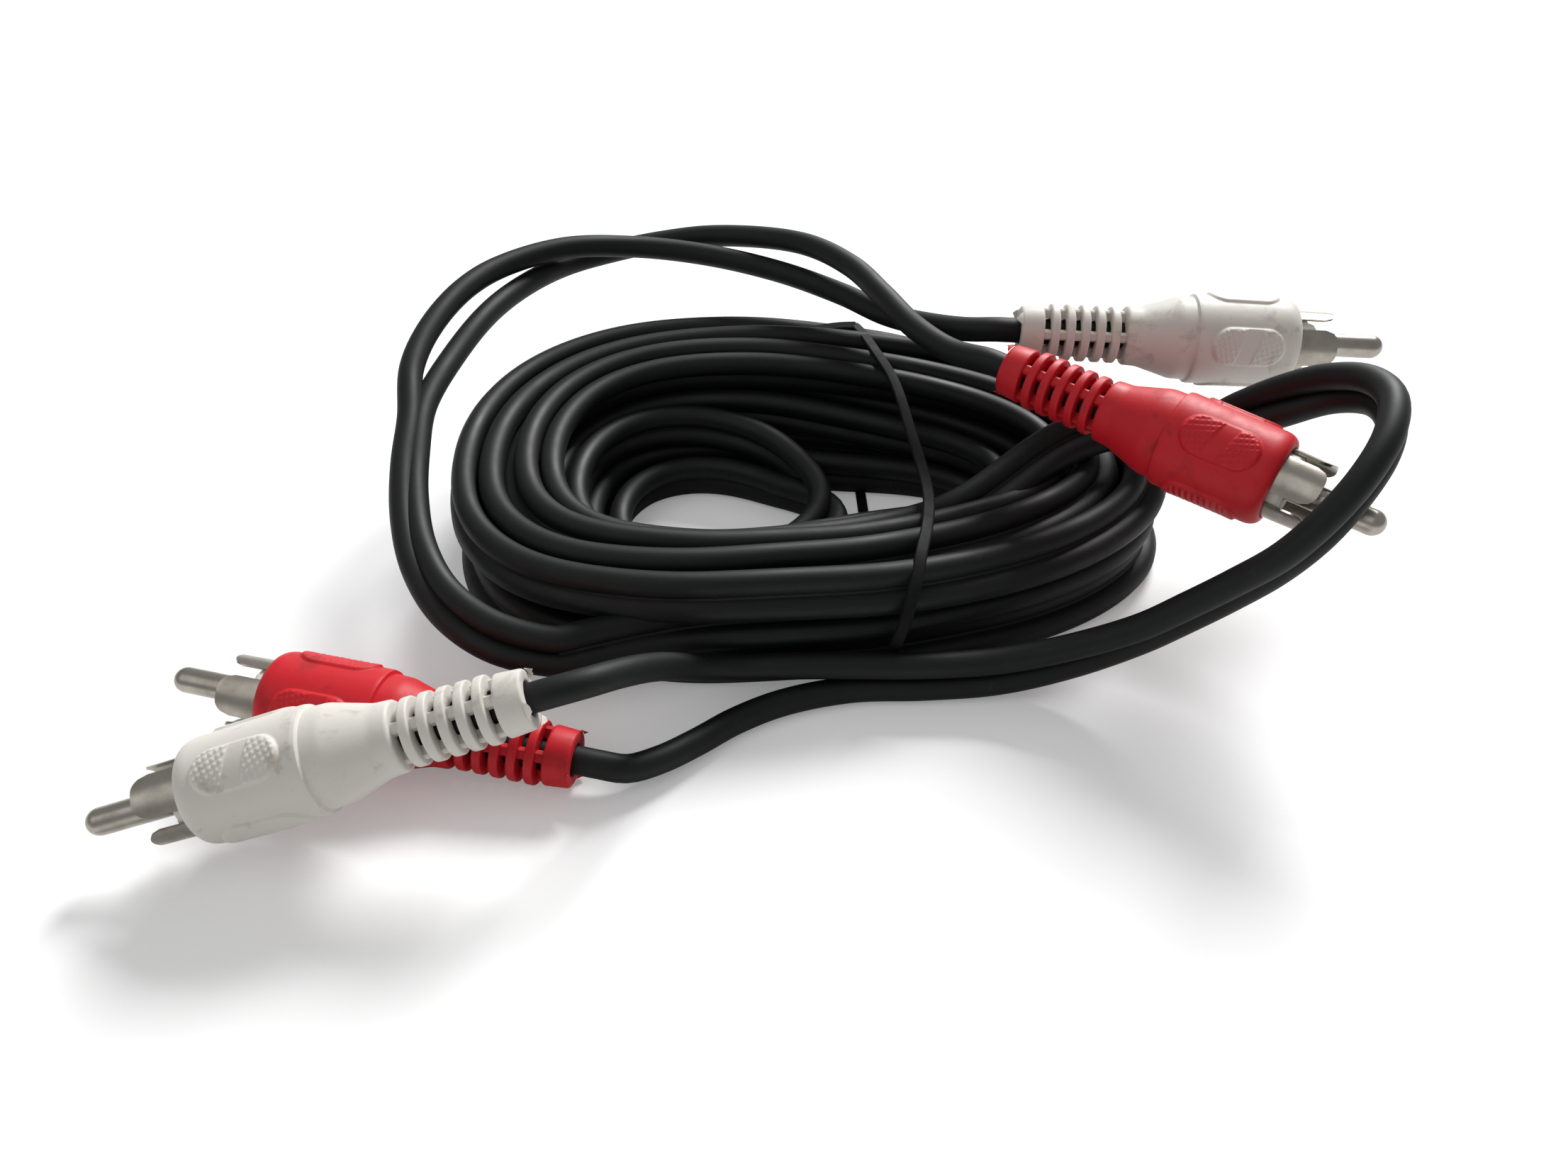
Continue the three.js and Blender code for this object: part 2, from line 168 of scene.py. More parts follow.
# Plugs: the end of the strain relief, the way the pin points, the way the pad faces, the lead's
# route from the plug, and how many of its last points run joined to the lead beside it
HANK_TOP_AXIS = HANK_HEIGHT + 0.3 + BODY_RADIUS
PLUGS = {
    "left_white": {
        "colour": "white",
        "end": (-28.2, -43.8, 17.9),
        "points": (-0.961, -0.161, -0.225),
        "pad_faces": (0.03, -0.48, 0.875),
        "route": [
            (-22.3, -42.1, 18.6), (-19, -38.5, 16.6), (-15.5, -33.3, 12.6), (-11.5, -28.8, 8.2),
            (-6.5, -26.4, 5.8), (-1, -25.9, 5.6), (8.1, -25.8, 5.6), (17.3, -25.8, 5.6),
            (26.5, -25.6, 6.2), (35.3, -26, 8.9), (43.3, -26.6, 13.2), (50.5, -27.3, 19.2),
            (56.8, -28.2, 25.7), (62.8, -26.7, 32.4), (67.4, -22.6, 36.9), (70.3, -16.9, 39),
            (70.8, -10.9, 38.8), (68.8, -5.3, 36.4), (65.2, -0.8, 32.5), (61.5, 2.4, 28.2),
        ],
        "joined": 10,
        "side_ribs": 0.0,
    },
    "left_red": {
        "colour": "red",
        "end": (-25.2, -40.5, 4.2),
        "points": (-0.9785, 0.188, 0.084),
        "pad_faces": (-0.14, -0.75, 0.643),
        "route": [
            (-19.2, -41, 3.2), (-15.4, -38.9, 2.5), (-11.2, -35.6, 2), (-6.5, -31.8, 1.8),
            (-0.5, -28.6, 1.8), (8.2, -26.3, 1.8), (17.6, -25.9, 1.8), (27, -25.5, 2.4),
            (36, -25.3, 5.1), (44.4, -25.4, 9.2), (51.9, -25.8, 14.8), (57.6, -26.4, 20.4),
            (61.4, -26.2, 24.9), (64.4, -25, 29.2), (68, -21.8, 32.6), (71, -17.4, 34.6),
            (72.4, -12.2, 34.7), (71.6, -7.4, 33.6), (69.2, -4.4, 31.4), (65.2, -2.6, 28.4),
            (61, -0.6, 25),
        ],
        "joined": 12,
        "side_ribs": 1.0,
    },
    "right_white": {
        "colour": "white",
        "end": (33, 17.9, HANK_TOP_AXIS + 2.1),
        "points": (0.9978, -0.0636, -0.0186),
        "pad_faces": (-0.1, -0.94, 0.326),
        "route": [
            (25.7, 20.2, 28.9), (20, 25.3, 27.2), (15.2, 30.9, 25.8), (8.5, 39, 25.3),
            (-1.2, 45.6, 25.9), (-12.9, 49.9, 26.8), (-24.7, 50.9, 27.8), (-35.8, 47.4, 29.2),
            (-45, 40.3, 29.3), (-49.6, 33.3, 28.8), (-53, 24.1, 27.1), (-54.2, 15.8, 24.9),
            (-54.1, 5.4, 21.9), (-53.2, -3.8, 18.4), (-51.2, -12.8, 14.6), (-47.2, -20.3, 11.4),
            (-41.4, -25.4, 9), (-34.7, -27.6, 7.4),
        ],
        "joined": 6,
        "side_ribs": 0.4,
    },
    "right_red": {
        "colour": "red",
        "end": (29.9, 6.9, HANK_TOP_AXIS + 2.1),
        "points": (0.787, -0.614, -0.066),
        "pad_faces": (-0.4, -0.52, 0.755),
        "route": [
            (23.2, 13.4, 29), (18.5, 20.8, 28.9), (14.4, 29.4, 29.7), (9.9, 38.1, 30.4),
            (2.2, 46.8, 30.3), (-11.9, 54, 28.4), (-21.5, 55.2, 26.8), (-30, 53.4, 25.7),
            (-36.6, 49, 25.5), (-41.9, 41.3, 25.7), (-46.1, 32.9, 25.2), (-49.6, 22.4, 23.6),
            (-50.8, 13.1, 21.6), (-50.6, 2.4, 18.9), (-49, -7.1, 16.4), (-46, -15.2, 14.6),
            (-41.2, -21.2, 13.2), (-35.4, -24.8, 12.1),
        ],
        "joined": 6,
        "side_ribs": 1.0,
    },
}

# Tie: a flat strip round the hank, from the knot on the far side's top over to the near side
TIE_WIDTH = 1.6
TIE_THICKNESS = 0.6
TIE_ROUTE = [
    (10.6, 39.9, 19.4), (11.9, 36.7, 19.8), (14.2, 28.5, 20.0), (16.1, 22.5, 19.2), (17.8, 9.0, 18.1),
    (19.0, -4.2, 17.2), (18.3, -11.1, 17.2), (17.0, -17.0, 16.9), (15.8, -21.6, 14.4),
    (14.4, -24.2, 10.2), (13.2, -23.9, 5.6), (12.4, -22.4, 1.1), (11.5, -10.0, 0.4),
    (12.0, 10.0, 0.4), (11.0, 32.0, 0.4), (10.0, 42.4, 1.2), (9.6, 43.3, 9.0), (9.9, 42.3, 15.8),
]
TIE_TAIL = [(11.0, 38.6, 19.9), (9.0, 38.9, 19.7), (6.8, 39.0, 19.4), (4.6, 38.8, 19.1)]

# Camera at the photograph's angle
CAMERA_PLACE = (-0.0034, -0.1357, 0.110)
CAMERA_PITCH = math.radians(40)
CAMERA_LENS = 27.08
SENSOR_WIDTH = 36.0

# Light and floor, in metres and watts, and how bright the world is to the lead and to the camera
KEY_PLACE = (0.93, 2.16, 1.86)
KEY_SIZE = 1.05
KEY_ENERGY = 120
FILL_PLACE = (-0.45, -0.35, 0.7)
FILL_SIZE = 0.7
FILL_ENERGY = 1
WORLD_STRENGTH = 0.34
BACKGROUND_STRENGTH = 1.1
FLOOR_REACH = 6.0
FLOOR_LIFT = 0.2


def unit(vectors):
    vectors = np.asarray(vectors, dtype=float)
    return vectors / np.linalg.norm(vectors, axis=-1, keepdims=True)


def eased(values):
    """Values from 0 to 1 with a soft start and end."""
    values = np.clip(values, 0.0, 1.0)
    return values * values * (3 - 2 * values)


def to_frame(points):
    """Places in millimetres to metres in the frame of the solids."""
    return (np.asarray(points, dtype=float) - MIDDLE) * MM


def path_length(points):
    return float(np.linalg.norm(np.diff(points, axis=0), axis=1).sum())


def resampled(points, count):
    """The same line, whatever its columns hold, as count points evenly apart in space."""
    steps = np.linalg.norm(np.diff(points[:, :3], axis=0), axis=1)
    travel = np.concatenate([[0.0], np.cumsum(steps)])
    wanted = np.linspace(0.0, travel[-1], count)
    return np.stack([np.interp(wanted, travel, column) for column in points.T], axis=1)


def smooth_line(points, step):
    """A centripetal Catmull-Rom line through the points, resampled at about the given step."""
    points = np.asarray(points, dtype=float)
    ends = np.vstack([2 * points[0] - points[1], points, 2 * points[-1] - points[-2]])
    gaps = np.sqrt(np.linalg.norm(np.diff(ends[:, :3], axis=0), axis=1))
    knots = np.concatenate([[0.0], np.cumsum(gaps)])
    line = []
    for index in range(1, len(ends) - 2):
        knot = knots[index - 1:index + 3]
        near = ends[index - 1:index + 3]
        times = np.linspace(knot[1], knot[2], 24, endpoint=False)[:, None]
        first = [
            (near[k] * (knot[k + 1] - times) + near[k + 1] * (times - knot[k])) / (knot[k + 1] - knot[k])
            for k in range(3)
        ]
        second = [
            (first[k] * (knot[k + 2] - times) + first[k + 1] * (times - knot[k])) / (knot[k + 2] - knot[k])
            for k in range(2)
        ]
        line.append((second[0] * (knot[2] - times) + second[1] * (times - knot[1])) / (knot[2] - knot[1]))
    line = np.vstack([*line, points[-1:]])
    return resampled(line, max(2, round(path_length(line[:, :3]) / step)))


def add_mesh(name, shells, material, sharp=35):
    """One object from (vertices in metres, faces) shells, smooth apart from its sharp edges."""
    vertices = []
    faces = []
    for points, polygons in shells:
        start = len(vertices)
        vertices.extend(map(tuple, points))
        faces.extend(tuple(start + corner for corner in polygon) for polygon in polygons)
    mesh = bpy.data.meshes.new(name)
    mesh.from_pydata(vertices, [], faces)
    mesh.validate()
    mesh.polygons.foreach_set("use_smooth", [True] * len(mesh.polygons))
    mesh.set_sharp_from_angle(angle=math.radians(sharp))
    mesh.materials.append(material)
    obj = bpy.data.objects.new(name, mesh)
    bpy.context.scene.collection.objects.link(obj)
    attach(obj, "root")
    return obj


def grid_faces(rows, columns, closed_rows=False, closed_columns=True):
    """Quads between the rings of a grid of points, numbered row by row."""
    faces = []
    for row in range(rows if closed_rows else rows - 1):
        below = (row + 1) % rows
        for column in range(columns if closed_columns else columns - 1):
            beside = (column + 1) % columns
            faces.append((
                row * columns + column, row * columns + beside,
                below * columns + beside, below * columns + column,
            ))
    return faces


# Cords

def heading(path, closed=False):
    """The way the path runs at each of its points."""
    if closed:
        return unit(np.roll(path, -1, axis=0) - np.roll(path, 1, axis=0))
    return unit(np.gradient(path, axis=0))


def square_to(path, across, closed=False):
    """The vectors turned square to the path, each of length one."""
    along = heading(path, closed)
    return unit(across - along * np.sum(across * along, axis=1, keepdims=True))


def swept(path, across, section, closed=False):
    """A section of (across, up) pairs carried along a path of metres, with flat ends."""
    along = heading(path, closed)
    side = square_to(path, across, closed)
    up = np.cross(along, side)
    section = np.asarray(section) * MM
    points = (
        path[:, None, :]
        + side[:, None, :] * section[None, :, 0, None]
        + up[:, None, :] * section[None, :, 1, None]
    )
    count = len(section)
    faces = grid_faces(len(path), count, closed_rows=closed)
    if not closed:
        faces.append(tuple(range(count - 1, -1, -1)))
        faces.append(tuple((len(path) - 1) * count + k for k in range(count)))
    return points.reshape(-1, 3), faces


def carried_across(path, start):
    """A vector carried along a path with no twist of its own."""
    along = heading(path)
    across = [np.asarray(start, dtype=float)]
    for direction in along[1:]:
        across.append(across[-1] - direction * np.dot(across[-1], direction))
        across[-1] = across[-1] / np.linalg.norm(across[-1])
    return np.array(across)


def circle(radius, sides):
    turns = [2 * math.pi * k / sides for k in range(sides)]
    return [(radius * math.cos(turn), radius * math.sin(turn)) for turn in turns]


def twin_section():
    """Two round cores side by side, with the waist between them."""
    reach = math.radians(152)
    turns = np.linspace(-reach, reach, CORE_POINTS)
    right = [(CORE_OFFSET + LEAD_RADIUS * math.cos(t), LEAD_RADIUS * math.sin(t)) for t in turns]
    left = [(-x, -y) for x, y in right]
    return right + left


def round_the_hank(values, angle):
    """The values for an angle in degrees, from a table by angle, eased between its entries."""
    stops = sorted(values)
    angle = (angle - stops[0]) % 360 + stops[0]
    before = max(stop for stop in stops if stop <= angle)
    after = min((stop for stop in stops if stop > angle), default=stops[0] + 360)
    first = np.asarray(values[before], dtype=float)
    last = np.asarray(values[after if after in values else stops[0]], dtype=float)
    return first + (last - first) * eased((angle - before) / (after - before))


def outline_radius(angle):
    """How far the hank's outline lies from its centre at an angle in degrees."""
    corners = np.array(HANK_OUTLINE) - HANK_CENTRE
    turns = np.degrees(np.arctan2(corners[:, 1], corners[:, 0])) % 360
    order = np.argsort(turns)
    reach = np.linalg.norm(corners, axis=1)[order]
    wide_turns = np.concatenate([turns[order] - 360, turns[order], turns[order] + 360])
    nearby = [angle % 360 + shift for shift in (-8, -4, 0, 4, 8)]
    return float(np.mean(np.interp(nearby, wide_turns, np.tile(reach, 3))))


def inset_stretch(angle):
    """How much longer a step towards the centre is than the same step square to the outline."""
    slope = (outline_radius(angle + 3) - outline_radius(angle - 3)) / math.radians(6)
    return math.hypot(1, slope / outline_radius(angle))


def outline_place(angle, inset, level):
    """A place at an inset from the outline, measured square to it, at an angle in degrees."""
    reach = outline_radius(angle) - inset * inset_stretch(angle)
    turn = math.radians(angle)
    return (
        HANK_CENTRE[0] + reach * math.cos(turn), HANK_CENTRE[1] + reach * math.sin(turn), level,
    )


def stacked_cores():
    """Where the two cores should lie at each station: insets and levels, before they settle."""
    seeded = random.Random(11)
    turns = len(TURN_SLOTS) - 1
    habits = [[seeded.uniform(-1, 1) for _ in range(3)] for _ in TURN_SLOTS]
    cores = []
    for station in range(turns * TURN_STATIONS + LAST_STATIONS):
        turn = station // TURN_STATIONS
        following = min(turn + 1, turns)
        travelled = 360 * (station % TURN_STATIONS) / TURN_STATIONS
        shift_start = (turns - 1 - turn) * (360 - SHIFT_SPAN) / (turns - 1)
        share = float(eased((travelled - shift_start) / SHIFT_SPAN))
        mixed = [
            np.array(first) + (np.array(last) - np.array(first)) * share
            for first, last in (
                (TURN_SLOTS[turn], TURN_SLOTS[following]), (habits[turn], habits[following]),
            )
        ]
        (column, layer), (sway, wander, lift) = mixed
        angle = FIRST_ANGLE + travelled
        pitch, height, lean, spread = round_the_hank(STACK, angle)
        tilt = math.radians(lean + SWAY * sway)
        swing = math.radians(2 * travelled)
        inset = OUTER_INSET + column * pitch + WAVER * math.sin(swing + 3 * wander)
        inset += spread * (column / LAST_COLUMN) ** 2 * (1 - layer / 2)
        deepest = (outline_radius(angle) - INNER_REACH) / inset_stretch(angle)
        inset = min(inset, deepest)
        level = LOWEST_LEVEL + layer * height + WAVER * math.sin(1.5 * swing + 3 * lift)
        half = CORE_OFFSET * np.array([-math.cos(tilt), math.sin(tilt)])
        cores.append([np.array([inset, level]) - half, np.array([inset, level]) + half])
    return np.array(cores)


def spread_apart(cores):
    """One push of the cores that lie in the same slice of the hank away from each other."""
    count = len(cores)
    turns = -(-count // TURN_STATIONS)
    spare = np.arange(turns * TURN_STATIONS - count, dtype=float)[:, None, None]
    padding = 1000.0 + 100 * spare + np.zeros((1, 2, 2))
    slices = np.concatenate([cores, padding]).reshape(turns, TURN_STATIONS, 2, 2)
    slices = slices.transpose(1, 0, 2, 3).reshape(TURN_STATIONS, 2 * turns, 2)
    owners = np.repeat(np.arange(turns), 2)
    gaps = slices[:, :, None] - slices[:, None]
    distances = np.linalg.norm(gaps, axis=3) + 1e-9
    overlap = np.clip(2 * LEAD_RADIUS + CORE_CLEARANCE - distances, 0, None)
    overlap = overlap * (owners[:, None] != owners[None, :])
    slices = slices + 0.4 * (gaps * (overlap / distances)[..., None]).sum(axis=2)
    slices = slices.reshape(TURN_STATIONS, turns, 2, 2).transpose(1, 0, 2, 3)
    return slices.reshape(-1, 2, 2)[:count]


def settled(aims):
    """The cores eased into a smooth line, each twin kept whole, clear of the others and the floor."""
    cores = aims.copy()
    for step in range(SETTLE_STEPS):
        slack = 1 - step / SETTLE_STEPS
        cores[1:-1] += 0.2 * (0.2 + slack) * (cores[:-2] + cores[2:] - 2 * cores[1:-1])
        cores += 0.12 * slack * (aims - cores)
        apart = cores[:, 1] - cores[:, 0]
        excess = 1 - 2 * CORE_OFFSET / np.linalg.norm(apart, axis=1, keepdims=True)
        cores[:, 0] += apart * excess / 2
        cores[:, 1] -= apart * excess / 2
        cores = spread_apart(cores)
        cores[..., 1] = np.maximum(cores[..., 1], LEAD_RADIUS + CORE_CLEARANCE)
        cores[..., 0] = np.maximum(cores[..., 0], LEAD_RADIUS + OUTLINE_CLEARANCE)
    return cores


def opened_bends(line):
    """The line made smoother all over, and then only where it bends tighter than the cable may."""
    for step in range(EASING_STEPS + OPENING_STEPS):
        pull = (line[:-2] + line[2:]) / 2 - line[1:-1]
        if step >= EASING_STEPS:
            half_chord = np.linalg.norm(line[2:, :3] - line[:-2, :3], axis=1) / 2
            allowed = half_chord ** 2 / (2 * TIGHTEST_BEND)
            pull *= (np.linalg.norm(pull[:, :3], axis=1) > allowed)[:, None]
        line[1:-1] += 0.5 * pull
    return resampled(line, len(line))


def hank_route():
    """The twin's middle line through the hank and, for each point, the way its width lies."""
    places = [TWIN_START]
    widths = [TWIN_START_ACROSS]
    for station, cores in enumerate(settled(stacked_cores())):
        angle = FIRST_ANGLE + station * 360 / TURN_STATIONS
        first, second = (np.array(outline_place(angle, *core)) for core in cores)
        places.append((first + second) / 2)
        widths.append(unit(second - first))
    share = np.linspace(0.25, 0.9, len(TWIN_LEAD_OUT))[:, None]
    places += [*TWIN_LEAD_OUT, TWIN_END]
    widths += [*unit(widths[-1] * (1 - share) + np.array(TWIN_END_ACROSS) * share), TWIN_END_ACROSS]
    line = opened_bends(smooth_line(np.hstack([places, widths]), TWIN_STEP))
    path = line[:, :3]
    return path, square_to(path, line[:, 3:])


def split_points(path, across, side):
    """The first places of a lead, inside one core of the twin, from the twin's end inwards."""
    inside = range(0, SPLIT_POINTS * SPLIT_STEP, SPLIT_STEP)
    return [tuple(path[index] + side * CORE_OFFSET * across[index]) for index in inside]


def closed_pair(first, second):
    """Two leads that run joined: each keeps one core's width from the line between them."""
    count = max(len(first), len(second))
    first = resampled(np.array(first, dtype=float), count)
    second = resampled(np.array(second, dtype=float), count)
    middle = (first + second) / 2
    apart = unit(first - second) * CORE_OFFSET
    return list(map(tuple, middle + apart)), list(map(tuple, middle - apart))


def pair_routes(white, red, white_inside, red_inside):
    """The routes of two leads from their plugs, closed up where they run joined, into the twin."""
    white_free = white["route"][:-white["joined"]]
    red_free = red["route"][:-red["joined"]]
    white_last, red_last = closed_pair(
        white["route"][-white["joined"]:] + white_inside[:1],
        red["route"][-red["joined"]:] + red_inside[:1],
    )
    return white_free + white_last + white_inside[1:], red_free + red_last + red_inside[1:]


def lead_path(plug, route):
    """From the twin cable to inside the plug's strain relief, in metres."""
    inside = [
        tuple(np.array(plug["end"]) + distance * unit(plug["points"]))
        for distance in (LEAD_IN_PLUG, LEAD_IN_PLUG / 2, 0.0, -LEAD_STRAIGHT)
    ]
    return to_frame(smooth_line((inside + route)[::-1], 1.0))


def add_lead(name, plug, route, material):
    """One single lead, from the twin cable into its plug."""
    path = lead_path(plug, route)
    start = np.cross(path[1] - path[0], [0.0, 0.0, 1.0])
    shell = swept(path, carried_across(path, start), circle(LEAD_RADIUS, LEAD_SIDES))
    obj = add_mesh(name + "_jacket", [shell], material)
    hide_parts(name + "_lead")


def add_twin(places, across, material):
    """The twin cable, all its turns in one piece."""
    path = to_frame(places)
    obj = add_mesh("twin_cable", [swept(path, across, twin_section())], material)
    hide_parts("cable_hank")


# Plug pieces, each round the X axis with the strain relief's end at 0

def turned(profile, sides=96):
    """A surface turned round the X axis from (x, radius) pairs, closed at points on the axis."""
    points = []
    faces = []
    rings = []
    for x, radius in profile:
        if radius < 1e-6:
            rings.append([len(points)] * sides)
            points.append((x, 0.0, 0.0))
            continue
        rings.append(list(range(len(points), len(points) + sides)))
        for side in range(sides):
            turn = 2 * math.pi * side / sides
            points.append((x, radius * math.sin(turn), radius * math.cos(turn)))
    for first, second in zip(rings, rings[1:]):
        for side in range(sides):
            beside = (side + 1) % sides
            quad = [first[side], second[side], second[beside], first[beside]]
            corners = list(dict.fromkeys(quad))
            if len(corners) > 2:
                faces.append(tuple(corners))
    return np.array(points), faces


def softened(profile, radius, steps=4):
    """The profile with each inner corner rounded off."""
    profile = [np.array(point, dtype=float) for point in profile]
    result = [profile[0]]
    for before, corner, after in zip(profile, profile[1:], profile[2:]):
        back = before - corner
        ahead = after - corner
        cut = min(radius, 0.45 * np.linalg.norm(back), 0.45 * np.linalg.norm(ahead))
        start = corner + cut * back / np.linalg.norm(back)
        end = corner + cut * ahead / np.linalg.norm(ahead)
        for step in range(steps + 1):
            share = step / steps
            near = (1 - share) ** 2 * start + 2 * share * (1 - share) * corner + share ** 2 * end
            result.append(near)
    result.append(profile[-1])
    return [tuple(point) for point in result]


def hoop(start, end, inner, outer, rounding):
    """A ring with soft edges, closed on itself."""
    middle = (start + end) / 2
    profile = [
        (middle, inner), (start, inner), (start, outer), (end, outer), (end, inner), (middle, inner),
    ]
    return turned(softened(profile, rounding))


def collar():
    """The plain ring at the strain relief's end, a little narrower where the lead comes out."""
    middle = COLLAR_LENGTH / 2
    profile = [
        (middle, LEAD_BORE), (0.0, LEAD_BORE), (0.0, COLLAR_RADIUS - 0.6 * COLLAR_TAPER),
        (COLLAR_LENGTH, COLLAR_RADIUS + 0.4 * COLLAR_TAPER), (COLLAR_LENGTH, LEAD_BORE),
        (middle, LEAD_BORE),
    ]
    return turned(softened(profile, 0.4))


def rib(turn):
    """One bar of the strain relief, from the collar to the cone, standing off the lead."""
    half = RIB_WIDTH / 2
    soft = 0.22
    section = [
        (-half, LEAD_BORE), (-half, RIB_RADIUS - soft), (-half + soft, RIB_RADIUS),
        (half - soft, RIB_RADIUS), (half, RIB_RADIUS - soft), (half, LEAD_BORE),
    ]
    stations = [COLLAR_LENGTH / 2, CONE_START + 1.0]
    cosine, sine = math.cos(turn), math.sin(turn)
    points = []
    for x in stations:
        for y, z in section:
            points.append((x, y * cosine + z * sine, -y * sine + z * cosine))
    count = len(section)
    faces = grid_faces(2, count)
    faces.append(tuple(range(count - 1, -1, -1)))
    faces.append(tuple(range(count, 2 * count)))
    return np.array(points), faces


def flash(turn, seed):
    """A thin torn sliver of moulding flash on the collar's back edge."""
    seeded = random.Random(seed)
    count = 7
    points = []
    for index in range(count):
        angle = turn + (index - count / 2) * 0.09
        height = FLASH_REACH * math.sin(math.pi * index / (count - 1)) * seeded.uniform(0.5, 1.0)
        root = (0.0, COLLAR_RADIUS - COLLAR_TAPER)
        tip = (-height, COLLAR_RADIUS - 0.1)
        for x, radius in (root, tip, (0.12, COLLAR_RADIUS)):
            points.append((x, radius * math.sin(angle), radius * math.cos(angle)))
    faces = grid_faces(count, 3)
    faces.append((2, 1, 0))
    faces.append(tuple(3 * (count - 1) + k for k in range(3)))
    return np.array(points), faces


def ridge(values, pitch):
    """A row of ridges along values: 1 on each crest and 0 between them."""
    return 1 - np.abs(2 * (values / pitch % 1) - 1)


def pad_relief(x, turn, radius, centre, knurled, grip_depth):
    """How far one finger pad stands off the body at the given places."""
    swing = (turn - centre + math.pi) % (2 * math.pi) - math.pi
    side = radius * np.sin(np.clip(swing, -math.pi / 2, math.pi / 2))
    along = x - PAD_X
    half = PAD_WIDTH / 2
    inside = half - np.hypot(np.maximum(np.abs(along) - (PAD_LENGTH / 2 - half), 0.0), side)
    relief = PAD_HEIGHT * eased(inside / 0.3)
    if not knurled:
        grip = eased((inside - 0.5) / 0.3) * eased((PAD_LENGTH / 2 - 1.0 - np.abs(along)) / 0.4)
        return relief - grip_depth * grip * (1 - ridge(along, GRIP_PITCH))
    band = np.abs(along * math.sin(PAD_BAND_TILT) - side * math.cos(PAD_BAND_TILT))
    lobe = eased((band - PAD_BAND_WIDTH / 2) / 0.25) * eased((inside - 0.25) / 0.3)
    first = ridge(along * KNURL_AXIS[0] + side * KNURL_AXIS[1], KNURL_PITCH)
    second = ridge(along * KNURL_AXIS[1] - side * KNURL_AXIS[0], KNURL_PITCH)
    return relief + lobe * (LOBE_HEIGHT - KNURL_DEPTH * (1 - np.minimum(first, second)))


def outer_skin(side_ribs):
    """Cone, seam, gripped body and nose, with the pads raised from it."""
    profile = softened([
        (CONE_START, 0.0), (CONE_START, CONE_RADIUS), (CONE_START + 2.2, CONE_RADIUS + 0.12),
        (SEAM_X - 2.0, SEAM_RADIUS - 0.05), (SEAM_X, SEAM_RADIUS),
    ], 0.5)
    back_radius = BODY_RADIUS + BODY_TAPER
    front_radius = BODY_RADIUS - BODY_TAPER / 2
    profile += [(SEAM_X + 0.05, SEAM_RADIUS + 0.04), (SEAM_X + 0.22, back_radius - 0.08)]
    start = SEAM_X + 0.6
    end = FACE_X - NOSE_LENGTH
    for x in np.linspace(start, end, round((end - start) / PAD_STEP)):
        share = (x - start) / (end - start)
        profile.append((x, back_radius + (front_radius - back_radius) * share))
    for step in range(1, 9):
        turn = step / 8 * math.pi / 2
        profile.append((
            FACE_X - NOSE_LENGTH * (1 - math.sin(turn)), front_radius - NOSE_RADIUS * (1 - math.cos(turn)),
        ))
    seat = SHELL_RADIUS + SEAT_CLEARANCE
    profile += [(FACE_X, seat + 0.12), (FACE_X - 0.12, seat), (SHELL_BACK_X, seat), (SHELL_BACK_X, 0.0)]
    points, faces = turned(profile, BODY_SIDES)
    turns = np.arctan2(points[:, 1], points[:, 2])
    radii = np.hypot(points[:, 1], points[:, 2])
    on_body = (radii > front_radius - 0.3) & (points[:, 0] > start - 0.01)
    relief = np.zeros(len(points))
    for index in range(PAD_COUNT):
        centre = index * 2 * math.pi / PAD_COUNT
        raised = pad_relief(
            points[:, 0], turns, BODY_RADIUS, centre, index % 2 == 0, GRIP_DEPTH * side_ribs,
        )
        relief = np.maximum(relief, raised)
    relief = np.where(on_body, relief, 0.0)
    growth = (radii + relief) / np.maximum(radii, 1e-9)
    points[:, 1:] *= growth[:, None]
    return points, faces


def plug_shells(side_ribs, seed):
    """The moulding: body, collar, rings, ribs and a little flash."""
    shells = [outer_skin(side_ribs), collar()]
    for index in range(RING_COUNT):
        start = COLLAR_LENGTH + WINDOW_WIDTH + index * WINDOW_PITCH
        shells.append(hoop(start, start + RING_WIDTH, LEAD_BORE, RING_RADIUS, 0.28))
    shells += [rib(index * 2 * math.pi / RIB_COUNT) for index in range(RIB_COUNT)]
    shells += [flash(turn, seed + index) for index, turn in enumerate(FLASH_TURNS)]
    return shells


def petal(turn):
    """One sprung tongue of the shell: a curved strip with round corners and real thickness."""
    rows, columns = 18, 15
    half = PETAL_WIDTH / 2
    points = []
    for radius in (SHELL_RADIUS, SHELL_RADIUS - SHELL_WALL):
        for row in range(rows):
            for column in range(columns):
                side = half * (2 * column / (columns - 1) - 1)
                over = max(0.0, abs(side) - (half - PETAL_CORNER)) / PETAL_CORNER
                end = FACE_X + PETAL_REACH - PETAL_CORNER * (1 - math.sqrt(1 - over * over))
                x = PETAL_START_X + (end - PETAL_START_X) * row / (rows - 1)
                spring = PETAL_SPRING * max(0.0, x - FACE_X)
                angle = turn + math.asin(side / SHELL_RADIUS)
                points.append((x, (radius - spring) * math.sin(angle), (radius - spring) * math.cos(angle)))
    outer = grid_faces(rows, columns, closed_columns=False)
    layer = rows * columns
    faces = [tuple(reversed(face)) for face in outer]
    faces += [tuple(layer + corner for corner in face) for face in outer]
    edge = list(range(columns))
    edge += [row * columns + columns - 1 for row in range(1, rows)]
    edge += [(rows - 1) * columns + column for column in range(columns - 2, -1, -1)]
    edge += [row * columns for row in range(rows - 2, 0, -1)]
    for first, second in zip(edge, edge[1:] + edge[:1]):
        faces.append((first, second, layer + second, layer + first))
    return np.array(points), faces


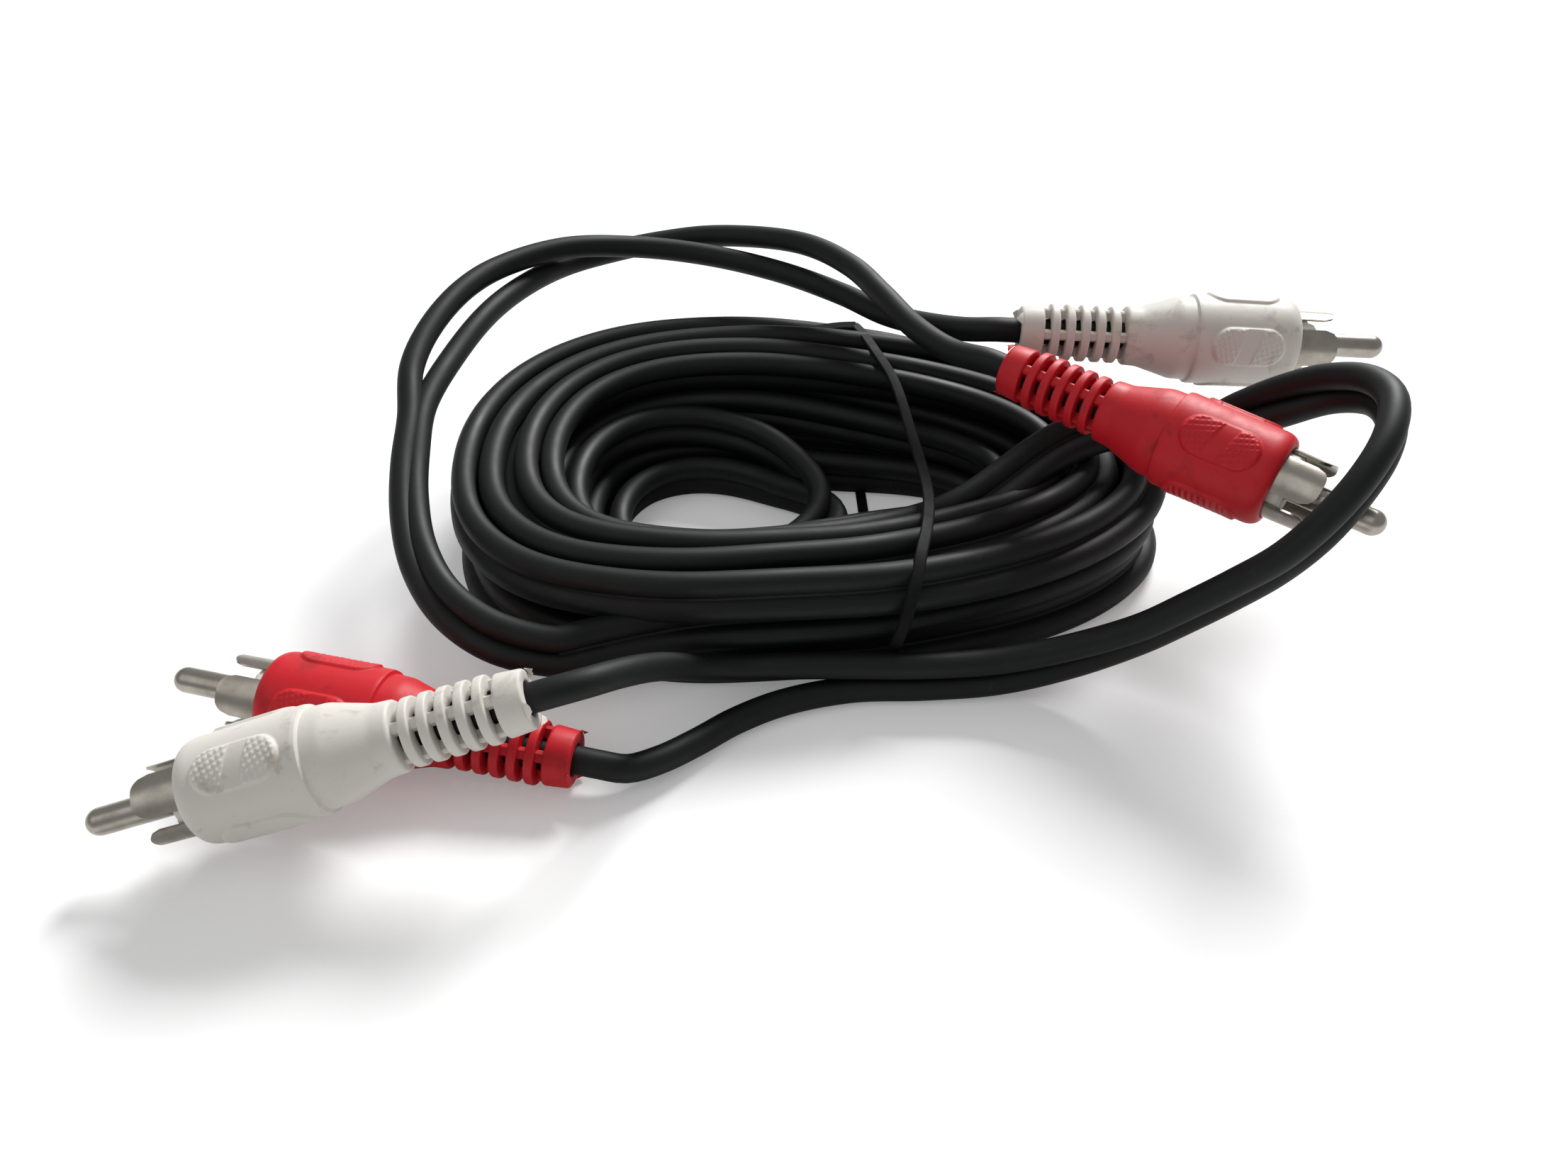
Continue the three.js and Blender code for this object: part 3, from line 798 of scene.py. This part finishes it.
def shell_shells():
    """The ground shell: a cup in the body, and the petals that stand out of it."""
    inner = SHELL_RADIUS - SHELL_WALL
    rim = PETAL_START_X + PETAL_OVERLAP
    back = SHELL_BACK_X + SHELL_WALL
    cup = turned([
        (SHELL_BACK_X, 0.0), (SHELL_BACK_X, SHELL_RADIUS), (rim, SHELL_RADIUS), (rim, inner),
        (back, inner), (back, 0.0),
    ])
    return [cup] + [petal(index * 2 * math.pi / PETAL_COUNT) for index in range(PETAL_COUNT)]


def insulator_shells():
    """The insulator round the pin, with its soft front edge."""
    outer = SHELL_RADIUS - SHELL_WALL - SEAT_CLEARANCE
    end = FACE_X + INSULATOR_REACH
    start = SHELL_BACK_X + SHELL_WALL + SEAT_CLEARANCE
    middle = start + 0.5
    bore = PIN_RADIUS + SEAT_CLEARANCE
    profile = [(start, bore), (start, outer), (end, outer), (end, bore), (middle, bore), (start, bore)]
    return [turned(softened(profile, 0.6, 6))]


def pin_shells():
    """The centre pin with its round tip."""
    start = SHELL_BACK_X + SHELL_WALL + SEAT_CLEARANCE
    profile = [(start, 0.0), (start, PIN_RADIUS)]
    for step in range(13):
        turn = step / 12 * math.pi / 2
        profile.append((
            PIN_TIP_X - PIN_RADIUS * (1 - math.sin(turn)), PIN_RADIUS * math.cos(turn),
        ))
    profile[-1] = (PIN_TIP_X, 0.0)
    return [turned(profile)]


def placed(shells, plug):
    """Shells of a plug's own axes, in millimetres, to metres where the plug lies."""
    along = unit(plug["points"])
    side = unit(np.cross(plug["pad_faces"], along))
    up = np.cross(along, side)
    axes = np.array([along, side, up])
    return [(to_frame(points @ axes + np.array(plug["end"])), faces) for points, faces in shells]


def add_plug(name, plug, materials, seed):
    """The moulded body, ground shell, insulator and pin of one plug."""
    colour = plug["colour"] + "_pvc"
    pieces = [
        ("moulding", "plug_body", plug_shells(plug["side_ribs"], seed), colour),
        ("shell", "ground_shell", shell_shells(), "nickel"),
        ("nub", "insulator", insulator_shells(), "insulation"),
        ("pin", "center_pin", pin_shells(), "nickel"),
    ]
    made = []
    for piece, node, shells, slot in pieces:
        obj = add_mesh(f"{name}_{piece}", placed(shells, plug), materials[slot])
        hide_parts(f"{name}_{node}")
        made.append(obj)
    return made


# Tie

def tie_section():
    half_width, half_depth = TIE_WIDTH / 2, TIE_THICKNESS / 2
    soft = 0.18
    return [
        (-half_width, -half_depth + soft), (-half_width + soft, -half_depth),
        (half_width - soft, -half_depth), (half_width, -half_depth + soft),
        (half_width, half_depth - soft), (half_width - soft, half_depth),
        (-half_width + soft, half_depth), (-half_width, half_depth - soft),
    ]


def add_tie(material):
    """The strip round the hank and its loose end, which lies back over it from the knot."""
    route = np.array(TIE_ROUTE + TIE_ROUTE[:3])
    line = to_frame(smooth_line(route, 0.8))
    start = int(np.argmin(np.linalg.norm(line - line[-1], axis=1)[:len(line) // 4]))
    loop = line[start:-1]
    tail = to_frame(smooth_line(TIE_TAIL, 0.8))
    shells = [
        swept(loop, np.tile([1.0, 0.08, 0.0], (len(loop), 1)), tie_section(), closed=True),
        swept(tail, np.tile([0.0, 1.0, 0.3], (len(tail), 1)), tie_section()),
    ]
    obj = add_mesh("tie_strip", shells, material)
    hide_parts("hank_tie")


# Materials

def new_material(name):
    material = bpy.data.materials.new(name)
    material.use_nodes = True
    nodes = material.node_tree.nodes
    return material, nodes, material.node_tree.links, nodes["Principled BSDF"]


def add_noise(nodes, links, scale, detail=3.0, roughness=0.55, distortion=0.0):
    coordinates = nodes.new("ShaderNodeTexCoord")
    noise = nodes.new("ShaderNodeTexNoise")
    noise.inputs["Scale"].default_value = scale
    noise.inputs["Detail"].default_value = detail
    noise.inputs["Roughness"].default_value = roughness
    noise.inputs["Distortion"].default_value = distortion
    links.new(coordinates.outputs["Object"], noise.inputs["Vector"])
    return noise.outputs["Fac"]


def add_ramp(nodes, links, source, stops):
    ramp = nodes.new("ShaderNodeValToRGB")
    ramp.color_ramp.elements[0].position, ramp.color_ramp.elements[0].color = stops[0]
    ramp.color_ramp.elements[1].position, ramp.color_ramp.elements[1].color = stops[-1]
    for position, colour in stops[1:-1]:
        ramp.color_ramp.elements.new(position).color = colour
    links.new(source, ramp.inputs["Fac"])
    return ramp.outputs["Color"]


def grey(value):
    return (value, value, value, 1.0)


def add_bump(nodes, links, shader, source, strength, distance):
    bump = nodes.new("ShaderNodeBump")
    bump.inputs["Strength"].default_value = strength
    bump.inputs["Distance"].default_value = distance
    links.new(source, bump.inputs["Height"])
    links.new(bump.outputs["Normal"], shader.inputs["Normal"])


def pvc_material(name, base, soiled, soil_amount, scatter):
    """Soft moulded plastic with handling marks."""
    material, nodes, links, shader = new_material(name)
    smudges = add_noise(nodes, links, 260, 5, 0.62, 0.4)
    marks = add_ramp(nodes, links, smudges, [
        (0.0, base), (0.56, base), (0.56 + 0.3 * (1.2 - soil_amount), soiled),
    ])
    links.new(marks, shader.inputs["Base Color"])
    grain = add_noise(nodes, links, 1500, 2)
    gloss = add_ramp(nodes, links, smudges, [(0.3, grey(0.42)), (0.75, grey(0.6))])
    links.new(gloss, shader.inputs["Roughness"])
    shader.inputs["Subsurface Weight"].default_value = scatter
    shader.inputs["Subsurface Radius"].default_value = (0.0012, 0.0008, 0.0006)
    shader.inputs["Subsurface Scale"].default_value = 1.0
    shader.inputs["IOR"].default_value = 1.5
    shader.inputs["Specular IOR Level"].default_value = 0.3
    add_bump(nodes, links, shader, grain, 0.25, 0.00006)
    return material


def jacket_material():
    """Matte black extruded jacket, with a little dust scattered over it."""
    material, nodes, links, shader = new_material("black_jacket")
    dust = add_noise(nodes, links, 420, 6, 0.7)
    colour = add_ramp(nodes, links, dust, [
        (0.0, (0.0035, 0.0042, 0.0048, 1)), (0.62, (0.005, 0.0058, 0.0062, 1)),
        (0.82, (0.02, 0.021, 0.021, 1)),
    ])
    links.new(colour, shader.inputs["Base Color"])
    handled = add_noise(nodes, links, 120, 3)
    gloss = add_ramp(nodes, links, handled, [(0.3, grey(0.5)), (0.7, grey(0.62))])
    links.new(gloss, shader.inputs["Roughness"])
    shader.inputs["IOR"].default_value = 1.5
    shader.inputs["Specular IOR Level"].default_value = 0.3
    skin = add_noise(nodes, links, 900, 3)
    add_bump(nodes, links, shader, skin, 0.22, 0.00005)
    return material


def nickel_material():
    """Plated metal with fine rub marks and dull patches."""
    material, nodes, links, shader = new_material("nickel")
    shader.inputs["Metallic"].default_value = 1.0
    dull = add_noise(nodes, links, 350, 4, 0.6)
    colour = add_ramp(nodes, links, dull, [(0.35, (0.44, 0.41, 0.36, 1)), (0.75, (0.31, 0.28, 0.24, 1))])
    links.new(colour, shader.inputs["Base Color"])
    gloss = add_ramp(nodes, links, dull, [(0.3, grey(0.24)), (0.75, grey(0.4))])
    links.new(gloss, shader.inputs["Roughness"])
    rubs = add_noise(nodes, links, 2600, 2)
    add_bump(nodes, links, shader, rubs, 0.15, 0.00003)
    return material


def plain_material(name, dark, light, roughness, metallic=0.0, shine=0.5):
    """A small piece's finish, which varies between two shades."""
    material, nodes, links, shader = new_material(name)
    shader.inputs["Metallic"].default_value = metallic
    shader.inputs["Specular IOR Level"].default_value = shine
    grain = add_noise(nodes, links, 500, 4)
    colour = add_ramp(nodes, links, grain, [(0.35, dark), (0.7, light)])
    links.new(colour, shader.inputs["Base Color"])
    gloss = add_ramp(nodes, links, grain, [(0.3, grey(roughness - 0.06)), (0.7, grey(roughness + 0.06))])
    links.new(gloss, shader.inputs["Roughness"])
    add_bump(nodes, links, shader, grain, 0.2, 0.00004)
    return material


def make_materials():
    return {
        "white_pvc": pvc_material(
            "white_pvc", (0.66, 0.635, 0.585, 1), (0.40, 0.36, 0.30, 1), 0.55, 0.12,
        ),
        "red_pvc": pvc_material("red_pvc", (0.54, 0.010, 0.018, 1), (0.30, 0.007, 0.012, 1), 0.5, 0.06),
        "black_jacket": jacket_material(),
        "tie_band": plain_material(
            "tie_band", (0.003, 0.0033, 0.0036, 1), (0.007, 0.0075, 0.008, 1), 0.62, shine=0.15,
        ),
        "nickel": nickel_material(),
        "insulation": plain_material("insulation", (0.62, 0.60, 0.52, 1), (0.72, 0.70, 0.63, 1), 0.4),
        "copper": plain_material("copper", (0.55, 0.26, 0.15, 1), (0.78, 0.42, 0.27, 1), 0.32, 1.0),
    }


def dress_inner_nodes(materials):
    """The wires inside each plug keep their solids and get bare metal."""
    for name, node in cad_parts.items():
        if name.endswith("_signal_core") or name.endswith("_shield_wire"):
            node.data.materials.clear()
            node.data.materials.append(materials["copper"])


# Stage

def add_camera():
    data = bpy.data.cameras.new("camera")
    data.sensor_width = SENSOR_WIDTH
    data.lens = CAMERA_LENS
    data.clip_start = 0.005
    camera = bpy.data.objects.new("camera", data)
    camera.location = CAMERA_PLACE
    camera.rotation_euler = (math.pi / 2 - CAMERA_PITCH, 0.0, 0.0)
    bpy.context.scene.collection.objects.link(camera)
    bpy.context.scene.camera = camera


def add_floor():
    """A pale floor that reads as white paper to the camera and keeps its shadows."""
    corners = [(-1, -1), (1, -1), (1, 1), (-1, 1)]
    mesh = bpy.data.meshes.new("floor")
    mesh.from_pydata([(FLOOR_REACH * x, FLOOR_REACH * y, 0) for x, y in corners], [], [(0, 1, 2, 3)])
    floor = bpy.data.objects.new("floor", mesh)
    bpy.context.scene.collection.objects.link(floor)
    material, nodes, links, shader = new_material("floor")
    shader.inputs["Base Color"].default_value = (0.86, 0.86, 0.86, 1)
    shader.inputs["Roughness"].default_value = 0.9
    shader.inputs["Specular IOR Level"].default_value = 0.1
    ray = nodes.new("ShaderNodeLightPath")
    lift = nodes.new("ShaderNodeMath")
    lift.operation = "MULTIPLY"
    lift.inputs[1].default_value = FLOOR_LIFT
    links.new(ray.outputs["Is Camera Ray"], lift.inputs[0])
    shader.inputs["Emission Color"].default_value = (1, 1, 1, 1)
    links.new(lift.outputs[0], shader.inputs["Emission Strength"])
    mesh.materials.append(material)


def add_area_light(name, place, size, energy):
    """A square lamp that faces the lead."""
    data = bpy.data.lights.new(name, "AREA")
    data.shape = "SQUARE"
    data.size = size
    data.energy = energy
    light = bpy.data.objects.new(name, data)
    light.location = place
    light.rotation_euler = Vector(place).to_track_quat("Z", "Y").to_euler()
    bpy.context.scene.collection.objects.link(light)


def add_world():
    """An even light from all round, brighter where the camera sees it."""
    world = bpy.data.worlds.new("world")
    world.use_nodes = True
    nodes = world.node_tree.nodes
    links = world.node_tree.links
    background = nodes["Background"]
    background.inputs["Color"].default_value = (1, 1, 1, 1)
    ray = nodes.new("ShaderNodeLightPath")
    seen = nodes.new("ShaderNodeMix")
    seen.data_type = "FLOAT"
    seen.inputs[2].default_value = WORLD_STRENGTH
    seen.inputs[3].default_value = BACKGROUND_STRENGTH
    links.new(ray.outputs["Is Camera Ray"], seen.inputs[0])
    links.new(seen.outputs[0], background.inputs["Strength"])
    bpy.context.scene.world = world


def main():
    bpy.context.scene.view_settings.view_transform = "Standard"
    add_camera()
    materials = make_materials()
    path, across = hank_route()
    right = pair_routes(
        PLUGS["right_white"], PLUGS["right_red"],
        split_points(path, across, -1), split_points(path, across, 1),
    )
    left = pair_routes(
        PLUGS["left_white"], PLUGS["left_red"],
        split_points(path[::-1], across[::-1], 1), split_points(path[::-1], across[::-1], -1),
    )
    routes = dict(zip(["right_white", "right_red", "left_white", "left_red"], right + left))
    add_twin(path, across, materials["black_jacket"])
    for seed, (name, plug) in enumerate(PLUGS.items()):
        pieces = add_plug(name, plug, materials, 10 * seed)
        add_lead(name, plug, routes[name], materials["black_jacket"])
    add_tie(materials["tie_band"])
    dress_inner_nodes(materials)
    add_floor()
    add_area_light("key", KEY_PLACE, KEY_SIZE, KEY_ENERGY)
    add_area_light("fill", FILL_PLACE, FILL_SIZE, FILL_ENERGY)
    add_world()


main()
